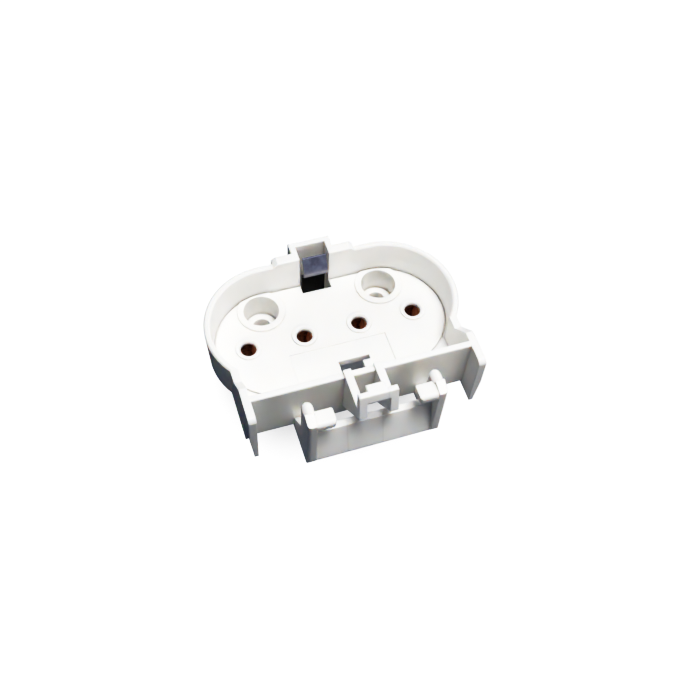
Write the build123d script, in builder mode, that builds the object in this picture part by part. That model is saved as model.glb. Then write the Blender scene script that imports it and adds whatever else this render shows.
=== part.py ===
"""Four-pin holder for a compact fluorescent lamp.

A shallow moulded tray takes the lamp's cap. Its floor has a row of four contact wells, two sunk screw bores and
an off-centre keyway. A latch at the back catches the cap, and a shield, a hook and a bracket stand at the front.
Millimetres, +Z up. The origin is on the mounting face, under the middle of the row of contacts. +Y is the back.
"""
import os
from math import sqrt

from build123d import *

os.makedirs("parts", exist_ok=True)

# Contact wells
contact_pitch = 10.0
contact_count = 4
well_dia = 2.8
well_lead_in = 0.3
well_ring_dia = 4.4
well_ring_rise = 0.3
well_floor = 0.6

# Heights
floor_top = 9.5
floor_thickness = 1.8
rim_rise = 6.3
shield_rise = 10.0

# Tray: a stadium with end arcs about two centres, widening a little from foot to rim
arc_centre_x = 10.0
rim_outer_radius = 12.1
rim_wall = 1.1
wall_outer_draft = 0.45
wall_inner_draft = 0.3
groove_width = 0.3
groove_depth = 0.4

# Raised stretch of rim at the back
step_half_width = 7.4
step_ramp = 0.8
step_rise = 0.65
step_proud = 0.7

# Front shield and side wings
shield_front = 15.7
shield_thickness = 1.1
shield_undercut = 0.5
shield_undercut_height = 1.1
wing_outer = 19.7
wing_thickness = 1.3
wing_front = 19.2
wing_ramp_start = 9.6
wing_ramp_end = 13.1
wing_corner = 1.0
wing_tip_taper = 0.6
wing_tip_height = 5.6

# Break of the moulding's upper edges
edge_break = 0.25

# Screw bores
screw_spacing = 21.76
screw_y = 6.86
screw_hole_dia = 3.2
screw_head_dia = 6.2
screw_head_depth = 4.4
screw_ring_dia = 8.4
screw_ring_rise = 0.4
screw_boss_dia = 8.2
seat_groove_width = 0.4
seat_groove_depth = 0.5

# Keyway and blank marking panel in the tray floor
key_left = -0.95
key_right = 4.6
key_back = -6.65
key_front = -10.2
key_stop_left = 3.2
key_stop_back = -7.5
panel_half_width = 8.7
panel_back = -3.2
panel_front = -9.6
panel_depth = 0.15

# Contact body under the tray, with one chamber for each contact
body_half_width = 17.9
body_front = 6.3
body_back = 8.8
body_corner = 3.0
chamber_half_width = 1.95
chamber_front = 5.0
chamber_back = 2.6
wire_hole_dia = 2.2
wire_hole_z = 4.9

# Back cover, sunk flush in the body
cover_thickness = 1.5
cover_half_width = 17.1
cover_front = 5.5
cover_back = 3.4
cover_clearance = 0.1
cover_corner = 1.5
core_half_width = 5.6
core_front = 4.6
core_back = 7.6
core_roof = 1.5
peg_side = 1.5
peg_length = 2.5
peg_clearance = 0.05
peg_y = -1.5

# Bent contact
strip = 0.35
clip_width = 3.4
clip_half_gap = 1.4
pinch_half_gap = 0.85
pinch_depth = 3.3
flare_half_gap = 1.3
contact_clearance = 0.15
tongue_width = 1.9
tongue_front = 4.5
tongue_knee = 1.3
tongue_back = 2.3
tongue_rise = 3.0
strip_bend = 0.3

# Latch and its pocket
pocket_half_width = 2.67
pocket_wall = 1.1
pocket_reach = 2.2
pocket_depth = 5.1
latch_width = 4.3
latch_strip = 0.5
latch_bend = 0.7
latch_pivot_setback = 0.45
latch_pivot_z = 3.5
latch_bead_dia = 1.8
latch_bead_clearance = 0.08
latch_bead_wrap = 0.5
latch_top_rise = 6.8
latch_top_setback = 0.05
latch_nose_reach = 1.4
latch_nose_top_rise = 4.2
latch_nose_bottom_rise = 3.1
latch_nose_draft = 0.15
latch_knee_rise = 1.4

# Hook at the middle of the shield
hook_half_width = 3.2
hook_rib = 1.3
hook_arm_rise = 10.6
hook_arm_root_rise = 1.1
hook_front = 23.1
hook_foot_rise = 9.3
hook_top_rise = 14.2
hook_lean = 0.9
hook_thickness = 1.0
hook_bar = 1.7
hook_tongue_half_width = 1.6
hook_tongue_length = 1.1
hook_tongue_thickness = 1.1

# Bracket in front of the shield
bracket_half_width = 11.4
bracket_front = 23.2
bracket_post_width = 1.5
bracket_post_back = 19.4
bracket_wedge_rise = 0.7
bracket_wedge_length = 2.2
bracket_foot_drop = 1.9
bracket_foot_radius = 1.5
bracket_corner = 0.6
bracket_arm_rise = 5.0
bracket_arm_root_rise = 0.6
plate_thickness = 1.2
plate_foot_recess = 0.3
plate_foot_radius = 0.8
plate_lean = 1.5
plate_rise = 5.3
head_rise = 10.7
head_height = 1.4
head_inner = 6.8
head_back = 20.2
head_corner = 0.7
pip_dia = 1.8
pip_y = -19.45
pip_rise = 11.3

# Levels and places worked out from the sizes above
rim_inner_radius = rim_outer_radius - rim_wall
foot_outer_radius = rim_outer_radius - wall_outer_draft
wall_foot_radius = rim_inner_radius - wall_inner_draft
floor_radius = wall_foot_radius - groove_width
foot_z = floor_top - floor_thickness
rim_top = floor_top + rim_rise
shield_top = floor_top + shield_rise
step_top = rim_top + step_rise
step_back = rim_outer_radius + step_proud
wing_inner = wing_outer - wing_thickness
wing_root = sqrt(rim_inner_radius**2 - (wing_inner - arc_centre_x) ** 2)
shield_back = shield_front - shield_thickness
chamber_top = floor_top - well_floor
screw_x = screw_spacing / 2
contact_xs = [contact_pitch * (i - (contact_count - 1) / 2) for i in range(contact_count)]
partition_xs = [(a + b) / 2 for a, b in zip(contact_xs, contact_xs[1:])]
peg_xs = [partition_xs[0], partition_xs[-1]]
pocket_outer = pocket_half_width + pocket_wall
pocket_front = rim_inner_radius - pocket_reach
pocket_back = pocket_front + pocket_depth
latch_pivot_y = rim_inner_radius + latch_pivot_setback
latch_top_y = rim_inner_radius + latch_top_setback
latch_nose_y = rim_inner_radius - latch_nose_reach
sides = (-1, 1)


def stadium(radius, mode=Mode.ADD):
    """Draw the tray's outline at the given radius about its two arc centres."""
    SlotCenterToCenter(2 * arc_centre_x, 2 * radius, mode=mode)


def rectangle_between(x0, x1, y0, y1):
    """Draw a rectangle by its edges."""
    with Locations(((x0 + x1) / 2, (y0 + y1) / 2)):
        Rectangle(abs(x1 - x0), abs(y1 - y0))


def bracket_profile(front, depth, top, corner, lean=0):
    """Draw a side view with a rounded lower front corner and a lean to the back."""
    bottom = floor_top - bracket_foot_drop
    with BuildLine() as outline:
        Polyline(
            (-front, bottom + corner),
            (lean - front, top),
            (lean + depth - front, top),
            (depth - front, bottom),
            (corner - front, bottom),
        )
        RadiusArc((corner - front, bottom), (-front, bottom + corner), corner)
    make_face(outline.edges())


with BuildPart() as housing:
    # Tray wall and floor, opened forwards, with its rim's edges broken
    with BuildSketch(Plane.XY.offset(foot_z)):
        stadium(foot_outer_radius)
    with BuildSketch(Plane.XY.offset(rim_top)):
        stadium(rim_outer_radius)
    loft()
    with BuildSketch(Plane.XY.offset(foot_z)):
        rectangle_between(-wing_outer, wing_outer, -shield_front, 0)
    extrude(amount=floor_thickness)
    with BuildSketch(Plane.XY.offset(floor_top)):
        stadium(wall_foot_radius)
    with BuildSketch(Plane.XY.offset(rim_top)):
        stadium(rim_inner_radius)
    loft(mode=Mode.SUBTRACT)
    with BuildSketch(Plane.XY.offset(floor_top)):
        rectangle_between(-wing_inner, wing_inner, -shield_front, -wing_root)
    extrude(amount=rim_rise, mode=Mode.SUBTRACT)
    rim_edges = housing.edges().filter_by_position(Axis.Z, rim_top, rim_top).filter_by(GeomType.CIRCLE)
    chamfer(rim_edges, edge_break)

    # Raised stretch of rim at the back, ramped at its ends, and the pocket that holds the latch
    with BuildSketch(Plane.XZ.offset(-step_back)):
        with BuildLine():
            Polyline(
                (-step_half_width, foot_z),
                (-step_half_width, rim_top),
                (step_ramp - step_half_width, step_top),
                (step_half_width - step_ramp, step_top),
                (step_half_width, rim_top),
                (step_half_width, foot_z),
                close=True,
            )
        make_face()
    extrude(amount=step_back - rim_inner_radius)
    with BuildSketch(Plane.XY.offset(foot_z)):
        rectangle_between(-pocket_outer, pocket_outer, rim_inner_radius, pocket_back + pocket_wall)
    extrude(amount=step_top - foot_z)
    step_edges = housing.edges().filter_by_position(Axis.Z, step_top, step_top)
    fillet(step_edges, edge_break)
    with BuildSketch():
        rectangle_between(-pocket_outer, pocket_outer, body_back - pocket_wall, pocket_back + pocket_wall)
    extrude(amount=foot_z)

    # Side wings, which rise from the rim to the shield's height and pass in front of it
    for side in sides:
        with BuildSketch(Plane.YZ.offset(side * wing_inner)) as wing:
            with BuildLine():
                Polyline(
                    (-wing_root, foot_z),
                    (-wing_root, rim_top),
                    (-wing_ramp_start, rim_top),
                    (-wing_ramp_end, shield_top),
                    (-wing_front, shield_top),
                    (-wing_front, foot_z),
                    close=True,
                )
            make_face()
            fillet(wing.vertices().group_by(Axis.X)[0].sort_by(Axis.Y)[-1], wing_corner)
        extrude(amount=side * wing_thickness)

    # Front shield between the wings
    with BuildSketch(Plane.XY.offset(foot_z)):
        rectangle_between(-wing_inner, wing_inner, -shield_front, -shield_back)
    extrude(amount=floor_thickness + shield_rise)
    shield_edges = housing.edges().filter_by(Axis.X).filter_by_position(Axis.Z, shield_top, shield_top)
    fillet(shield_edges.sort_by(SortBy.LENGTH)[-2:], edge_break)

    # The shield's foot is cut back under its face
    with BuildSketch(Plane.YZ.offset(-wing_inner)):
        with BuildLine():
            Polyline(
                (-shield_front, foot_z + shield_undercut_height),
                (-shield_front, foot_z),
                (shield_undercut - shield_front, foot_z),
                close=True,
            )
        make_face()
    extrude(amount=2 * wing_inner, mode=Mode.SUBTRACT)

    # The wings' lower tips taper on the outside
    for side in sides:
        with BuildSketch(Plane.XZ.offset(shield_front)):
            with BuildLine():
                Polyline(
                    (side * wing_outer, foot_z),
                    (side * (wing_outer - wing_tip_taper), foot_z),
                    (side * wing_outer, foot_z + wing_tip_height),
                    close=True,
                )
            make_face()
        extrude(amount=wing_front - shield_front, mode=Mode.SUBTRACT)

    # Contact body and screw bosses under the tray
    with BuildSketch():
        with Locations((0, (body_back - body_front) / 2)):
            RectangleRounded(2 * body_half_width, body_front + body_back, body_corner)
        with Locations((-screw_x, screw_y), (screw_x, screw_y)):
            Circle(screw_boss_dia / 2)
    extrude(amount=foot_z)

    # Shallow features of the tray floor
    with BuildSketch(Plane.XY.offset(floor_top)):
        stadium(wall_foot_radius)
        stadium(floor_radius, Mode.SUBTRACT)
    extrude(amount=-groove_depth, mode=Mode.SUBTRACT)
    with BuildSketch(Plane.XY.offset(floor_top)):
        rectangle_between(-panel_half_width, panel_half_width, panel_front, panel_back)
    extrude(amount=-panel_depth, mode=Mode.SUBTRACT)
    with BuildSketch(Plane.XY.offset(floor_top)):
        with Locations(*[(x, 0) for x in contact_xs]):
            Circle(well_ring_dia / 2)
    extrude(amount=well_ring_rise)
    with BuildSketch(Plane.XY.offset(floor_top)):
        with Locations((-screw_x, screw_y), (screw_x, screw_y)):
            Circle(screw_ring_dia / 2)
        stadium(floor_radius, Mode.INTERSECT)
    extrude(amount=screw_ring_rise)

    # Keyway, stepped where a stop fills one corner
    with BuildSketch(Plane.XY.offset(foot_z)):
        rectangle_between(key_left, key_stop_left, key_front, key_back)
        rectangle_between(key_stop_left, key_right, key_stop_back, key_back)
    extrude(amount=floor_thickness, mode=Mode.SUBTRACT)

    # Chambers, recess for the cover, cored-out back, peg holes, wells and wire entries
    with BuildSketch():
        with Locations(*[(x, (chamber_back - chamber_front) / 2) for x in contact_xs]):
            Rectangle(2 * chamber_half_width, chamber_front + chamber_back)
    extrude(amount=chamber_top, mode=Mode.SUBTRACT)
    with BuildSketch():
        with Locations((0, (cover_back - cover_front) / 2)):
            RectangleRounded(2 * cover_half_width, cover_front + cover_back, cover_corner)
    extrude(amount=cover_thickness, mode=Mode.SUBTRACT)
    with BuildSketch():
        rectangle_between(-core_half_width, core_half_width, core_front, core_back)
    extrude(amount=floor_top - core_roof, mode=Mode.SUBTRACT)
    with BuildSketch(Plane.XY.offset(cover_thickness)):
        with Locations(*[(x, peg_y) for x in peg_xs]):
            Rectangle(peg_side + 2 * peg_clearance, peg_side + 2 * peg_clearance)
    extrude(amount=peg_length + cover_clearance, mode=Mode.SUBTRACT)
    with BuildSketch(Plane.XY.offset(floor_top + well_ring_rise)):
        with Locations(*[(x, 0) for x in contact_xs]):
            Circle(well_dia / 2)
    extrude(amount=-(well_ring_rise + well_floor), mode=Mode.SUBTRACT)
    ring_top = floor_top + well_ring_rise
    ring_edges = housing.edges().filter_by(GeomType.CIRCLE).filter_by_position(Axis.Z, ring_top, ring_top)
    chamfer(ring_edges.group_by(SortBy.RADIUS)[0], well_lead_in)
    with BuildSketch(Plane.XZ.offset(chamber_front)):
        with Locations(*[(x, wire_hole_z) for x in contact_xs]):
            Circle(wire_hole_dia / 2)
    extrude(amount=body_front - chamber_front, mode=Mode.SUBTRACT)

    # Screw bores with sunk seats
    seat_z = floor_top - screw_head_depth
    with BuildSketch(Plane.XY.offset(seat_z)):
        with Locations((-screw_x, screw_y), (screw_x, screw_y)):
            Circle(screw_head_dia / 2)
    extrude(amount=screw_head_depth + screw_ring_rise, mode=Mode.SUBTRACT)
    with BuildSketch(Plane.XY.offset(seat_z)):
        with Locations((-screw_x, screw_y), (screw_x, screw_y)):
            Circle(screw_head_dia / 2)
            Circle(screw_head_dia / 2 - seat_groove_width, mode=Mode.SUBTRACT)
    extrude(amount=-seat_groove_depth, mode=Mode.SUBTRACT)
    with BuildSketch():
        with Locations((-screw_x, screw_y), (screw_x, screw_y)):
            Circle(screw_hole_dia / 2)
    extrude(amount=seat_z, mode=Mode.SUBTRACT)

    # Hollow of the latch pocket, and the round seat for the latch's bead
    pocket_floor = latch_pivot_z + latch_bead_wrap
    with BuildSketch(Plane.XY.offset(pocket_floor)):
        rectangle_between(-pocket_half_width, pocket_half_width, pocket_front, pocket_back)
    extrude(amount=step_top - pocket_floor, mode=Mode.SUBTRACT)
    with BuildSketch(Plane.YZ.offset(-pocket_half_width)):
        with Locations((latch_pivot_y, latch_pivot_z)):
            Circle(latch_bead_dia / 2 + latch_bead_clearance)
    extrude(amount=2 * pocket_half_width, mode=Mode.SUBTRACT)

    # Hook: two ribs out from the shield, a leaning arch on their ends and a tongue back from its top
    for side in sides:
        with BuildSketch(Plane.YZ.offset(side * (hook_half_width - hook_rib))):
            with BuildLine():
                Polyline(
                    (-shield_back, floor_top + hook_arm_root_rise),
                    (-shield_back, floor_top + hook_arm_rise),
                    (hook_thickness - hook_front, floor_top + hook_arm_rise),
                    (-hook_front, floor_top + hook_foot_rise),
                    (-shield_front, floor_top + hook_arm_root_rise),
                    close=True,
                )
            make_face()
        extrude(amount=side * hook_rib)
    with BuildSketch(Plane.YZ.offset(-hook_half_width)):
        with BuildLine():
            Polyline(
                (-hook_front, floor_top + hook_foot_rise),
                (hook_lean - hook_front, floor_top + hook_top_rise),
                (hook_lean + hook_thickness - hook_front, floor_top + hook_top_rise),
                (hook_thickness - hook_front, floor_top + hook_foot_rise),
                close=True,
            )
        make_face()
    extrude(amount=2 * hook_half_width)
    with BuildSketch(Plane.XZ.offset(hook_front - hook_lean - hook_thickness)):
        arch_half = hook_half_width - hook_rib
        arch_top = floor_top + hook_top_rise - hook_bar
        rectangle_between(-arch_half, arch_half, floor_top + hook_foot_rise, arch_top)
    extrude(amount=hook_lean + hook_thickness, mode=Mode.SUBTRACT)
    with BuildSketch(Plane.XY.offset(floor_top + hook_top_rise - hook_tongue_thickness)):
        tongue_root = hook_lean + hook_thickness / 2 - hook_front
        tongue_end = hook_lean + hook_thickness + hook_tongue_length - hook_front
        rectangle_between(-hook_tongue_half_width, hook_tongue_half_width, tongue_root, tongue_end)
    extrude(amount=hook_tongue_thickness)
    hook_top = floor_top + hook_top_rise
    fillet(housing.edges().filter_by_position(Axis.Z, hook_top, hook_top), edge_break)

    # Bracket: a leaning plate across the front, and on each side an arm, a post, a head and a pip
    with BuildSketch(Plane.YZ.offset(-bracket_half_width)):
        plate_foot = bracket_front - plate_foot_recess
        bracket_profile(plate_foot, plate_thickness, floor_top + plate_rise, plate_foot_radius, plate_lean)
    extrude(amount=2 * bracket_half_width)
    bracket_bottom = floor_top - bracket_foot_drop
    arm_back = shield_undercut - shield_front
    post_depth = bracket_front - bracket_post_back
    post_inner = bracket_half_width - bracket_post_width
    head_top = floor_top + head_rise
    head_bottom = head_top - head_height
    wedge_back = bracket_wedge_length - bracket_front
    pip_centre = floor_top + pip_rise - pip_dia / 2
    for side in sides:
        with BuildSketch(Plane.YZ.offset(side * post_inner)):
            with BuildLine():
                Polyline(
                    (-bracket_post_back, bracket_bottom),
                    (-bracket_post_back, floor_top + bracket_arm_rise),
                    (arm_back, floor_top + bracket_arm_root_rise),
                    (arm_back, bracket_bottom),
                    close=True,
                )
            make_face()
        extrude(amount=side * bracket_post_width)
        with BuildSketch(Plane.YZ.offset(side * post_inner)):
            bracket_profile(bracket_front, post_depth, head_top, bracket_foot_radius)
        extrude(amount=side * bracket_post_width)
        with BuildSketch(Plane.YZ.offset(side * post_inner)):
            with BuildLine():
                Polyline(
                    (-bracket_front, head_top),
                    (wedge_back, head_top + bracket_wedge_rise),
                    (wedge_back, head_top),
                    close=True,
                )
            make_face()
        extrude(amount=side * bracket_post_width)
        with BuildSketch(Plane.YZ.offset(side * head_inner)) as head:
            rectangle_between(-bracket_front, -head_back, head_bottom, head_top)
            fillet(head.vertices().group_by(Axis.Y)[-1], head_corner)
        extrude(amount=side * (bracket_half_width - head_inner))
        pip_x = side * (bracket_half_width - pip_dia / 2)
        with BuildSketch(Plane.XZ.offset(-pip_y)):
            with Locations((pip_x, pip_centre)):
                Circle(pip_dia / 2)
        extrude(amount=pip_y - wedge_back)
        with Locations((pip_x, pip_y, pip_centre)):
            Sphere(pip_dia / 2)
            Cylinder(
                pip_dia / 2,
                pip_centre - bracket_bottom,
                align=(Align.CENTER, Align.CENTER, Align.MAX),
            )

    # Upright corners of the posts and of the heads' inner ends are rounded
    bracket_corners = (
        (bracket_half_width, -bracket_front, -1, 1, bracket_bottom),
        (head_inner, -bracket_front, 1, 1, head_bottom),
        (head_inner, -head_back, 1, -1, head_bottom),
    )
    for side in sides:
        for x, y, into_x, into_y, bottom in bracket_corners:
            with BuildSketch(Plane.XY.offset(bottom)):
                with Locations((side * (x + into_x * bracket_corner / 2), y + into_y * bracket_corner / 2)):
                    Rectangle(bracket_corner, bracket_corner)
                with Locations((side * (x + into_x * bracket_corner), y + into_y * bracket_corner)):
                    Circle(bracket_corner, mode=Mode.SUBTRACT)
            extrude(amount=head_top + bracket_wedge_rise - bottom, mode=Mode.SUBTRACT)

with BuildPart() as back_cover:
    with BuildSketch():
        with Locations((0, (cover_back - cover_front) / 2)):
            RectangleRounded(
                2 * (cover_half_width - cover_clearance),
                cover_front + cover_back - 2 * cover_clearance,
                cover_corner - cover_clearance,
            )
    extrude(amount=cover_thickness)
    with BuildSketch(Plane.XY.offset(cover_thickness)):
        with Locations(*[(x, peg_y) for x in peg_xs]):
            Rectangle(peg_side, peg_side)
    extrude(amount=peg_length)

with BuildPart() as latch:
    # A spring strip: lead-in ramp, nose and stem, with its root rolled into a bead
    stem_front = latch_pivot_y - latch_strip / 2
    with BuildSketch(Plane.YZ.offset(-latch_width / 2)):
        with BuildLine():
            FilletPolyline(
                (latch_top_y, floor_top + latch_top_rise),
                (latch_nose_y, floor_top + latch_nose_top_rise),
                (latch_nose_y + latch_nose_draft, floor_top + latch_nose_bottom_rise),
                (stem_front, floor_top + latch_knee_rise),
                (stem_front, latch_pivot_z),
                radius=latch_bend,
            )
            offset(amount=latch_strip, side=Side.LEFT)
        make_face()
        with Locations((latch_pivot_y, latch_pivot_z)):
            Circle(latch_bead_dia / 2)
    extrude(amount=latch_width)


def bent_contact(x):
    """Bend one contact: a clip whose lips flare under the well, and a tongue that grips the wire."""
    base = cover_thickness
    lip_top = chamber_top - contact_clearance
    pinch_z = floor_top - pinch_depth
    with BuildPart() as contact:
        with BuildSketch(Plane.XZ.offset(-clip_width / 2)):
            with BuildLine():
                FilletPolyline(
                    (x - flare_half_gap, lip_top),
                    (x - pinch_half_gap, pinch_z),
                    (x - clip_half_gap, base + strip),
                    (x + clip_half_gap, base + strip),
                    (x + pinch_half_gap, pinch_z),
                    (x + flare_half_gap, lip_top),
                    radius=strip_bend,
                )
                offset(amount=strip, side=Side.RIGHT)
            make_face()
        extrude(amount=clip_width)
        with BuildSketch(Plane.YZ.offset(x - tongue_width / 2)):
            with BuildLine():
                FilletPolyline(
                    (-clip_width / 2, base),
                    (-tongue_front, base),
                    (-tongue_front, base + tongue_knee),
                    (-tongue_back, base + tongue_rise),
                    radius=strip_bend + strip,
                )
                offset(amount=strip, side=Side.RIGHT)
            make_face()
        extrude(amount=tongue_width)
    return contact.part


housing.part.label = "housing"
export_step(housing.part, "parts/housing.step")
back_cover.part.label = "back_cover"
export_step(back_cover.part, "parts/back_cover.step")
latch.part.label = "latch"
export_step(latch.part, "parts/latch.step")
for number, contact_x in enumerate(contact_xs, start=1):
    contact_part = bent_contact(contact_x)
    contact_part.label = f"contact_{number}"
    export_step(contact_part, f"parts/contact_{number}.step")
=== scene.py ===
# %% [markdown]
# # A four-pin lamp holder
# The object is a small moulded holder, 44 mm across, that takes the cap of a compact fluorescent lamp.
# Its solids come from CAD and stay as they are in place and size. This lesson softens the shading of
# their edges, gives each one a finish made of nodes, and sets up the floor, the light and the camera.
# Everything is in metres, in the same frame as the solids: the origin lies on the mounting face under
# the middle of the contact row, +Y is the back and +Z is up.

# %% Load the solids
import math

import bpy
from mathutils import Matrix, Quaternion, Vector

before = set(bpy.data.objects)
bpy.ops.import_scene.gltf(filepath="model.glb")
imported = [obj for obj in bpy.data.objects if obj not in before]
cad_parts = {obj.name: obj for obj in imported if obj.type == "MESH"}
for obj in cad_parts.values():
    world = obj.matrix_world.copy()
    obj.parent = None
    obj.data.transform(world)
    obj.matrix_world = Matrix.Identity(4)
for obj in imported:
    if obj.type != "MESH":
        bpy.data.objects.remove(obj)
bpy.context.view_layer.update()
MM = 0.001
print("nodes:", sorted(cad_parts))

# %% [markdown]
# ## Camera
# The picture was taken from above, a little to the left of the front, with a normal lens and the camera
# held slightly askew. A camera can be placed by a matrix, but four plain facts are easier to read and
# change: where the eye is, what it looks at, how far it is rolled, and the focal length on a 36 mm
# sensor.

# %% Place the camera
eye = Vector((-32.39, -86.82, 146.63)) * MM
target = Vector((1.69, -5.01, 9.5)) * MM
roll = math.radians(5.40)
focal_length = 48.67
sensor_width = 36
nearest_seen = 5 * MM

camera_data = bpy.data.cameras.new("camera")
camera_data.sensor_width = sensor_width
camera_data.lens = focal_length
camera_data.clip_start = nearest_seen
camera = bpy.data.objects.new("camera", camera_data)
camera.location = eye
camera.rotation_mode = "QUATERNION"
level = (target - eye).to_track_quat("-Z", "Y")
camera.rotation_quaternion = level @ Quaternion((0, 0, 1), roll)
bpy.context.scene.collection.objects.link(camera)
bpy.context.scene.camera = camera
print("camera distance in mm:", round((target - eye).length / MM, 1))

# %% [markdown]
# ## Floor
# The holder lies on its mounting face on a plain pale sheet. In a studio such a sheet turns up at its
# far end, so that no horizon shows. Here it is round and turns up all the way round, which works for a
# camera on any side. Its section is a list of rings, each a radius and a height.

# %% Draw the section of the floor
flat_radius = 1.0
cove_radius = 0.6
quarter_turn = 90
cove_step = 10
backdrop_height = 2.5

rings = []
for degrees in range(0, quarter_turn + 1, cove_step):
    turn = math.radians(degrees)
    rings.append((flat_radius + cove_radius * math.sin(turn), cove_radius * (1 - math.cos(turn))))
rings.append((flat_radius + cove_radius, backdrop_height))
print("rings in the floor:", len(rings))

# %% [markdown]
# The rings become points, and quads join each ring to the next. A white sheet would throw light back
# up and flatten the shade on the side walls, so the floor is hidden from bounced and mirrored rays: it
# shows in the picture and lights nothing.

# %% Lay the floor
sides = 64
around = [2 * math.pi * side / sides for side in range(sides)]
points = []
for radius, height in rings:
    points += [(radius * math.cos(angle), radius * math.sin(angle), height) for angle in around]
faces = [tuple(range(sides))]
for ring in range(len(rings) - 1):
    inner = ring * sides
    outer = inner + sides
    for side in range(sides):
        following = (side + 1) % sides
        faces.append((inner + side, outer + side, outer + following, inner + following))

floor_mesh = bpy.data.meshes.new("floor")
floor_mesh.from_pydata(points, [], faces)
floor = bpy.data.objects.new("floor", floor_mesh)
bpy.context.scene.collection.objects.link(floor)
floor.visible_diffuse = False
floor.visible_glossy = False
print("floor faces:", len(faces))

# %% [markdown]
# ## Light
# Nearly all the light comes from one soft box above and a little to the right, so faces that look up
# are bright and upright faces get a half tone. Weak boxes lift the front, the right and the back, and a
# small card close to the right front corner makes the front faces grow lighter towards it. Nothing
# stands on the left: there the outer walls see only the dim blue surroundings, and fall into a deep
# blue shade.

# %% Hang the lights
middle = Vector((0, 0, 0.01))
fill_size = 0.30


def soft_box(name, place, size, power, colour):
    """Hang a square area light at place, turned to shine on the middle of the holder."""
    data = bpy.data.lights.new(name, "AREA")
    data.shape = "SQUARE"
    data.size = size
    data.energy = power
    data.color = colour
    light = bpy.data.objects.new(name, data)
    light.location = place
    light.rotation_mode = "QUATERNION"
    light.rotation_quaternion = (middle - Vector(place)).to_track_quat("-Z", "Y")
    light.visible_camera = False
    bpy.context.scene.collection.objects.link(light)
    print(name, "gives", power, "W")


soft_box("overhead", place=(0.06, -0.06, 0.50), size=0.22, power=3.3, colour=(1.0, 0.985, 0.955))
soft_box("front_fill", place=(0.10, -0.45, 0.30), size=fill_size, power=0.10, colour=(1.0, 0.94, 0.86))
soft_box("front_card", place=(0.055, -0.075, 0.045), size=0.03, power=0.012, colour=(1.0, 0.94, 0.87))
soft_box("back_fill", place=(0.10, 0.50, 0.18), size=fill_size, power=0.8, colour=(0.97, 0.98, 1.0))
soft_box("right_fill", place=(0.50, 0.05, 0.14), size=fill_size, power=0.5, colour=(1.0, 0.98, 0.96))

# %% [markdown]
# The surroundings stand in for a dim room. A picture of a room could light the scene, but one dim blue
# all round is enough for shade with no detail in it.

# %% Dim the surroundings
dusk_blue = (0.30, 0.46, 0.75, 1)
dusk_strength = 0.11

world = bpy.data.worlds.new("surroundings")
world.use_nodes = True
surroundings = world.node_tree.nodes["Background"]
surroundings.inputs["Color"].default_value = dusk_blue
surroundings.inputs["Strength"].default_value = dusk_strength
bpy.context.scene.world = world
print("surroundings:", dusk_strength)

# %% [markdown]
# ## Tone curve
# A white object under a strong lamp clips easily: everything above full white turns into one flat
# patch. A photograph's own curve bends over near the top and digs in at the bottom. Blender can do the
# same with the curve in its colour management. The curve's inputs run from 0 to white_level, so each
# point is scaled by it.

# %% Bend the tones
combined_curve = 3
white_level = 1.6
tones = [(0.05, 0.03), (0.20, 0.15), (0.33, 0.30), (0.50, 0.55), (0.75, 0.74), (1.00, 0.86), (1.25, 0.94)]

view = bpy.context.scene.view_settings
view.view_transform = "Standard"
view.look = "None"
view.use_curve_mapping = True
view.curve_mapping.white_level = (white_level, white_level, white_level)
all_channels = view.curve_mapping.curves[combined_curve]
for tone_in, tone_out in tones:
    all_channels.points.new(tone_in / white_level, tone_out)
view.curve_mapping.update()
print("tone curve points:", len(all_channels.points))

# %% [markdown]
# ## Node helpers
# Every finish below is a small tree of nodes on one Principled shader. Such a tree can be drawn by hand
# in the shader editor. Written as a script it can be read like a recipe, once a few helpers take care
# of the wiring. The first two make a material, and add one node to it with its settings and inputs.

# %% Make materials and nodes
def new_finish(name):
    """Make a node material and return it with its node tree and its Principled shader."""
    material = bpy.data.materials.new(name)
    material.use_nodes = True
    tree = material.node_tree
    return material, tree, tree.nodes["Principled BSDF"]


def add_node(tree, kind, inputs=None, **settings):
    """Add a node, set its properties, and set or link its inputs."""
    node = tree.nodes.new("ShaderNode" + kind)
    for key, value in settings.items():
        setattr(node, key, value)
    for key, value in (inputs or {}).items():
        if isinstance(value, bpy.types.NodeSocket):
            tree.links.new(value, node.inputs[key])
        else:
            node.inputs[key].default_value = value
    return node


print("helpers ready: new_finish, add_node")

# %% [markdown]
# The next helpers reckon with sockets. A Math node does one step of arithmetic, a Map Range node
# stretches one range of values over another, and a Mix node goes from one colour to another. The Mix
# node has a set of sockets for each kind of data, all with the same names, so its colour sockets are
# picked by number.

# %% Reckon with sockets
MIX_SHARE = 0
MIX_FIRST = 6
MIX_SECOND = 7
MIX_RESULT = 2


def calculate(tree, operation, first, second=0.0):
    """One step of arithmetic on sockets or numbers."""
    return add_node(tree, "Math", {0: first, 1: second}, operation=operation).outputs["Value"]


def remap(tree, value, from_low, from_high, to_low, to_high):
    """Stretch one range of values over another, and stop at its ends."""
    inputs = {"Value": value, "From Min": from_low, "From Max": from_high}
    inputs.update({"To Min": to_low, "To Max": to_high})
    return add_node(tree, "MapRange", inputs).outputs["Result"]


def socket_or_tone(colour):
    """A socket as it is, and a plain tone with the alpha that Blender asks for."""
    return colour if isinstance(colour, bpy.types.NodeSocket) else (*colour, 1)


def mix_colours(tree, share, first, second):
    """Go from the first colour to the second as share goes from 0 to 1; each may be a socket or a tone."""
    inputs = {MIX_SHARE: share, MIX_FIRST: socket_or_tone(first), MIX_SECOND: socket_or_tone(second)}
    return add_node(tree, "Mix", inputs, data_type="RGBA").outputs[MIX_RESULT]


print("helpers ready: calculate, remap, mix_colours")

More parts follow.
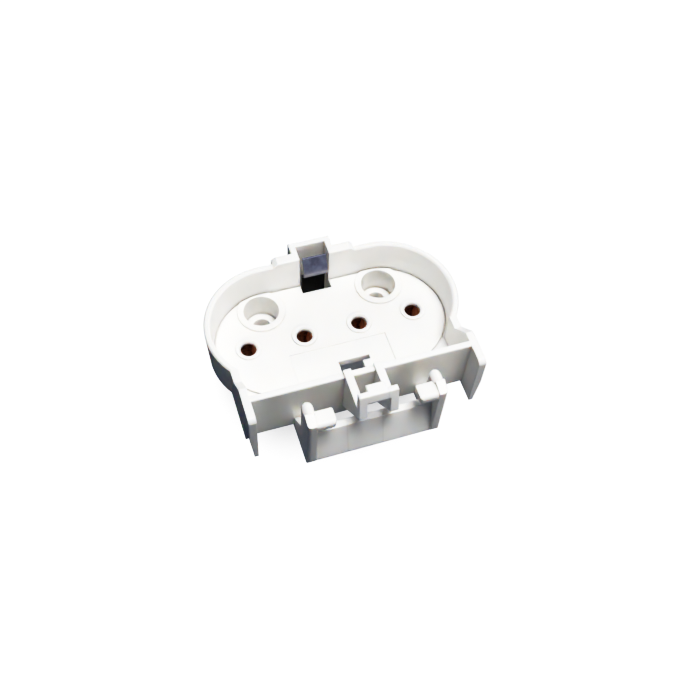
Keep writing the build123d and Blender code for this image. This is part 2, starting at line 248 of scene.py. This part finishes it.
# %% [markdown]
# No real surface is quite even, and noise gives the unevenness. It is read in object coordinates. Each
# solid sits at the frame's origin, so they are true metres, and the grain has its real size from any
# side. A noise hardly ever reaches 0 or 1, so only its middle range is stretched over values or
# colours.

# %% Make noise
noise_middle = (0.3, 0.7)
blend_ends = (0.35, 0.65)


def grain(tree, scale, detail=2.0, stretch=(1, 1, 1)):
    """Noise in object coordinates; stretch makes it change faster or slower along X, Y and Z."""
    place = add_node(tree, "TexCoord").outputs["Object"]
    stretched = add_node(tree, "Mapping", {"Vector": place, "Scale": stretch}).outputs["Vector"]
    noise = add_node(tree, "TexNoise", {"Vector": stretched, "Scale": scale, "Detail": detail})
    return noise.outputs["Fac"]


def spread(tree, noise, low, high):
    """Stretch a noise's middle range from low to high."""
    return remap(tree, noise, *noise_middle, low, high)


def blend_colours(tree, noise, first, second):
    """Run between two colours along a noise."""
    ramp = add_node(tree, "ValToRGB", {"Fac": noise})
    for stop, position, colour in zip(ramp.color_ramp.elements, blend_ends, (first, second)):
        stop.position = position
        stop.color = (*colour, 1)
    return ramp.outputs["Color"]


print("helpers ready: grain, spread, blend_colours")

# %% [markdown]
# Edges catch the light and wear first. A Bevel node gives the normal that a rounded edge would have.
# Where that normal turns away from the true one there must be an edge, so the same node also finds the
# worn places. A Bump node then presses the grain into the rounded surface.

# %% Round the edges and press in the grain
bevel_samples = 6
edge_agreement = 0.75


def rounded_normal(tree, radius):
    """The normal that the surface would have with every edge rounded to this radius."""
    return add_node(tree, "Bevel", {"Radius": radius}, samples=bevel_samples).outputs["Normal"]


def worn_edges(tree, rounded):
    """Near 1 on edges and 0 on flats: how far the rounded normal turns away from the true one."""
    true_normal = add_node(tree, "NewGeometry").outputs["Normal"]
    agreement = add_node(tree, "VectorMath", {0: rounded, 1: true_normal}, operation="DOT_PRODUCT")
    return remap(tree, agreement.outputs["Value"], 1.0, edge_agreement, 0.0, 1.0)


def press_in(tree, shader, height, rounded, strength, depth):
    """Give the shader the rounded normal with a height pattern pressed into it."""
    inputs = {"Height": height, "Normal": rounded, "Strength": strength, "Distance": depth}
    bump = add_node(tree, "Bump", inputs)
    tree.links.new(bump.outputs["Normal"], shader.inputs["Normal"])


print("helpers ready: rounded_normal, worn_edges, press_in")

# %% [markdown]
# ## Weld lines and painted chamber shade
# On the bracket's front plate two flows of melt met, and faint upright weld lines stay there. The
# closed chambers round the contacts, where little light enters, get a painted brown shade. Both are
# places on the solid, so a mask can be reckoned from the point's own coordinates, with no picture to
# paint.

# %% Find the weld lines
plate_welds = (-4.4 * MM, 1.6 * MM)
weld_half_width = 0.22 * MM
plate_back = -19.5 * MM


def place_along(tree, axis):
    """The point's own X, Y or Z on the solid, in metres."""
    place = add_node(tree, "TexCoord").outputs["Object"]
    return add_node(tree, "SeparateXYZ", {"Vector": place}).outputs[axis]


def weld_lines(tree, places):
    """Near 1 on thin upright lines at the given X on the front plate, and 0 elsewhere."""
    across = place_along(tree, "X")
    lines = 0.0
    for weld_x in places:
        away = calculate(tree, "ABSOLUTE", calculate(tree, "SUBTRACT", across, weld_x))
        lines = calculate(tree, "MAXIMUM", remap(tree, away, 0.0, weld_half_width, 1.0, 0.0), lines)
    on_plate = calculate(tree, "LESS_THAN", place_along(tree, "Y"), plate_back)
    return calculate(tree, "MULTIPLY", lines, on_plate)


print("weld lines:", len(plate_welds))

# %% Find the contact chambers
chamber_roof = 8.92 * MM
chamber_middle_y = -1.2 * MM
chamber_half_depth = 3.85 * MM
chamber_row_half_width = 17.0 * MM


def inside_chambers(tree):
    """1 on the walls of the closed chambers round the contacts, and 0 elsewhere."""
    low = calculate(tree, "LESS_THAN", place_along(tree, "Z"), chamber_roof)
    from_middle = calculate(tree, "SUBTRACT", place_along(tree, "Y"), chamber_middle_y)
    in_depth = calculate(tree, "LESS_THAN", calculate(tree, "ABSOLUTE", from_middle), chamber_half_depth)
    from_centre = calculate(tree, "ABSOLUTE", place_along(tree, "X"))
    in_row = calculate(tree, "LESS_THAN", from_centre, chamber_row_half_width)
    return calculate(tree, "MULTIPLY", low, calculate(tree, "MULTIPLY", in_depth, in_row))


print("chamber row in mm:", round(2 * chamber_row_half_width / MM, 1))

# %% [markdown]
# ## White moulded plastic
# The housing is one moulding in white polyester, with clouds of a slightly warmer white where the melt
# cooled slowly. A thin grey line of dust and painted shade lies in its inner corners, which ambient
# occlusion finds: it measures how much of the surroundings a point can see within a short reach. A
# painted shade of two browns covers the chambers.

# %% Colour the plastic
cloud_scale = 140
cloud_stretch = (1.0, 1.0, 0.6)
corner_reach = 0.9 * MM
corner_samples = 8
corner_view = (0.25, 0.85)
most_corner_shade_and_dust = 0.6
shade_and_dust_patch_scale = 450
shade_and_dust_patch_range = (0.7, 1.0)
chamber_shade_scale = 1600
pale_chamber_shade = (0.46, 0.25, 0.14)
dark_chamber_shade = (0.15, 0.075, 0.045)


def plastic_tone(tree, light_tone, warm_tone, dust_and_shade_tone):
    """Clouds of two whites, with dust and painted shade in the inner corners and a painted brown shade in
    the chambers.
    """
    cloud_noise = grain(tree, cloud_scale, detail=3.0, stretch=cloud_stretch)
    clouds = blend_colours(tree, cloud_noise, warm_tone, light_tone)
    # Painted shade and dust: ambient occlusion darkens the inner corners, broken into patches.
    corners = add_node(tree, "AmbientOcclusion", {"Distance": corner_reach}, samples=corner_samples)
    corner_shade_and_dust = remap(tree, corners.outputs["AO"], *corner_view, most_corner_shade_and_dust, 0.0)
    patches = spread(tree, grain(tree, shade_and_dust_patch_scale, detail=4.0), *shade_and_dust_patch_range)
    shaded_and_dusty = mix_colours(tree, calculate(tree, "MULTIPLY", corner_shade_and_dust, patches), clouds, dust_and_shade_tone)
    # Painted shade: the chamber walls run between two dark browns.
    chamber_shade = blend_colours(tree, grain(tree, chamber_shade_scale, detail=3.0), pale_chamber_shade, dark_chamber_shade)
    return mix_colours(tree, inside_chambers(tree), shaded_and_dusty, chamber_shade)


print("clouds in the plastic, about in mm:", round(1 / cloud_scale / MM, 1))

# %% [markdown]
# Up close a moulding has a fine spark-eroded grain and a gloss that varies a little. The tool's edges
# are never quite sharp, and handling rubs them smoother than the faces. A little light enters the
# plastic and leaves it again nearby, which Subsurface imitates: it keeps the shade on thin walls soft
# and warm. The cover is moulded in the same way in a greyer batch, so one function makes both.

# %% Make the white plastic
mould_radius = 0.18 * MM
spark_scale = 7000
spark_height = 0.3
gloss_scale = 900
plastic_roughness = (0.36, 0.50)
edge_polish = 0.12
weld_dirt = 0.16
light_depth = 1.2 * MM


def white_plastic(name, light_tone, warm_tone, dust_and_shade_tone, weld_places=()):
    """Moulded white plastic with grain, uneven gloss, dust and painted shade in the corners, rubbed edges
    and weld lines.
    """
    material, tree, shader = new_finish(name)
    rounded = rounded_normal(tree, mould_radius)
    tone = plastic_tone(tree, light_tone, warm_tone, dust_and_shade_tone)
    height = calculate(tree, "MULTIPLY", grain(tree, spark_scale, detail=3.0), spark_height)
    if weld_places:
        welds = weld_lines(tree, weld_places)
        tone = mix_colours(tree, calculate(tree, "MULTIPLY", welds, weld_dirt), tone, dust_and_shade_tone)
        height = calculate(tree, "SUBTRACT", height, welds)
    tree.links.new(tone, shader.inputs["Base Color"])
    press_in(tree, shader, height, rounded, strength=0.35, depth=0.02 * MM)

    gloss = spread(tree, grain(tree, gloss_scale, detail=4.0), *plastic_roughness)
    polish = calculate(tree, "MULTIPLY", worn_edges(tree, rounded), edge_polish)
    tree.links.new(calculate(tree, "SUBTRACT", gloss, polish), shader.inputs["Roughness"])

    shader.inputs["Subsurface Weight"].default_value = 0.5
    shader.inputs["Subsurface Radius"].default_value = (1.0, 0.85, 0.65)
    shader.inputs["Subsurface Scale"].default_value = light_depth
    shader.inputs["IOR"].default_value = 1.5
    print("made", name)
    return material


housing_finish = white_plastic(
    "white_plastic",
    light_tone=(0.92, 0.91, 0.89),
    warm_tone=(0.89, 0.875, 0.845),
    dust_and_shade_tone=(0.52, 0.50, 0.47),
    weld_places=plate_welds,
)
cover_finish = white_plastic(
    "cover_plastic",
    light_tone=(0.80, 0.80, 0.79),
    warm_tone=(0.74, 0.74, 0.72),
    dust_and_shade_tone=(0.38, 0.36, 0.33),
)

# %% [markdown]
# ## Spring steel
# The latch is a strip of blued spring steel. Its cut edges are bare. The nose is painted a paler grey as a
# highlight along its bend, and below the nose the strip is painted black as shade. The strip stands
# upright, so height alone tells these zones apart.

# %% Colour the latch
strip_edge_radius = 0.10 * MM
bare_edge_share = 0.6
blue_scale = 600
nose_bottom = 12.6 * MM
nose_top = 13.7 * MM
shade_fade_under_nose = (nose_bottom - 0.4 * MM, nose_bottom - 0.1 * MM)
nose_highlight_fade = (nose_top - 0.2 * MM, nose_top + 0.5 * MM)
deep_blue = (0.11, 0.12, 0.19)
pale_blue = (0.20, 0.22, 0.32)
bare_steel = (0.34, 0.35, 0.40)
nose_highlight_grey = (0.26, 0.26, 0.30)
painted_black_shade = (0.004, 0.004, 0.004)

latch_finish, tree, shader = new_finish("spring_steel")
rounded = rounded_normal(tree, strip_edge_radius)
height_up = place_along(tree, "Z")
# Painted shade: below the nose the strip fades to black.
shade_under_nose = remap(tree, height_up, *shade_fade_under_nose, 1.0, 0.0)
# Painted highlight: the nose is painted a paler grey along its bend.
nose_highlight = remap(tree, height_up, *nose_highlight_fade, 1.0, 0.0)
edges = calculate(tree, "MULTIPLY", worn_edges(tree, rounded), bare_edge_share)

tone = blend_colours(tree, grain(tree, blue_scale, detail=3.0), deep_blue, pale_blue)
tone = mix_colours(tree, edges, tone, bare_steel)
tone = mix_colours(tree, nose_highlight, tone, nose_highlight_grey)
tone = mix_colours(tree, shade_under_nose, tone, painted_black_shade)
tree.links.new(tone, shader.inputs["Base Color"])
print("nose height in mm:", round((nose_top - nose_bottom) / MM, 1))

# %% [markdown]
# Rolling leaves fine lines along the strip. A stretched noise draws them: quick across the strip's
# width and slow along its length. The lines vary the gloss as well as the height.

# %% Roll the latch's strip
roll_stretch = (16000, 500, 500)
latch_roughness = (0.34, 0.52)

roll_lines = grain(tree, 1.0, detail=3.0, stretch=roll_stretch)
tree.links.new(spread(tree, roll_lines, *latch_roughness), shader.inputs["Roughness"])
press_in(tree, shader, roll_lines, rounded, strength=0.4, depth=0.004 * MM)
shader.inputs["Metallic"].default_value = 0.85
print("made", latch_finish.name)

# %% [markdown]
# ## Contact metal
# The contacts are copper alloy strips. Heat and handling tarnish them, so the colour runs from a red
# copper to a brown, and the dull patches are also the rough ones. Tarnish is a film on the metal, so
# the shader is only a third metal: the rest scatters light, and the lips show in their wells from any
# side.

# %% Make the contact metal
contact_edge_radius = 0.05 * MM
bright_edge_share = 0.5
tarnish_scale = 900
contact_roughness = (0.28, 0.52)
red_copper = (0.95, 0.42, 0.19)
brown_film = (0.58, 0.20, 0.08)
bright_copper = (1.0, 0.62, 0.36)

contact_finish, tree, shader = new_finish("contact_metal")
rounded = rounded_normal(tree, contact_edge_radius)
edges = calculate(tree, "MULTIPLY", worn_edges(tree, rounded), bright_edge_share)
tarnish = grain(tree, tarnish_scale, detail=5.0)
film = blend_colours(tree, tarnish, red_copper, brown_film)
tree.links.new(mix_colours(tree, edges, film, bright_copper), shader.inputs["Base Color"])
tree.links.new(spread(tree, tarnish, *contact_roughness), shader.inputs["Roughness"])
press_in(tree, shader, tarnish, rounded, strength=0.3, depth=0.006 * MM)
shader.inputs["Metallic"].default_value = 0.35
print("made", contact_finish.name)

# %% [markdown]
# ## Floor finish
# The sheet glows like a light table, which keeps it white right up to the object. Only where the object
# closes it in on many sides, as between the bracket and the shield, does it fall into a soft shade.
# Ambient occlusion finds those places here too, with a longer reach.

# %% Make the floor finish
shade_reach = 15 * MM
shade_samples = 32
shade_view = (0.12, 0.62)
shade_tone = (0.05, 0.05, 0.06)
paper_scale = 12
paper_tones = ((0.99, 0.99, 0.99), (1.0, 1.0, 1.0))

floor_finish, tree, shader = new_finish("pale_card")
closed_in = add_node(tree, "AmbientOcclusion", {"Distance": shade_reach}, samples=shade_samples)
open_share = remap(tree, closed_in.outputs["AO"], *shade_view, 0.0, 1.0)
paper = blend_colours(tree, grain(tree, paper_scale), *paper_tones)
tree.links.new(mix_colours(tree, open_share, shade_tone, paper), shader.inputs["Emission Color"])
shader.inputs["Emission Strength"].default_value = 1.7
shader.inputs["Base Color"].default_value = (0.02, 0.02, 0.02, 1)
shader.inputs["Specular IOR Level"].default_value = 0.0
shader.inputs["Roughness"].default_value = 0.9
floor.data.materials.append(floor_finish)
print("made", floor_finish.name)

# %% [markdown]
# ## Give each solid its finish
# The solids are already in place, so only their material slots change.

# %% Assign the finishes
finishes = {"housing": housing_finish, "back_cover": cover_finish, "latch": latch_finish}
for name in sorted(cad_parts):
    if name.startswith("contact_"):
        finishes[name] = contact_finish
for name, finish in finishes.items():
    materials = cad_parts[name].data.materials
    materials.clear()
    materials.append(finish)
print("finished", len(finishes), "solids")
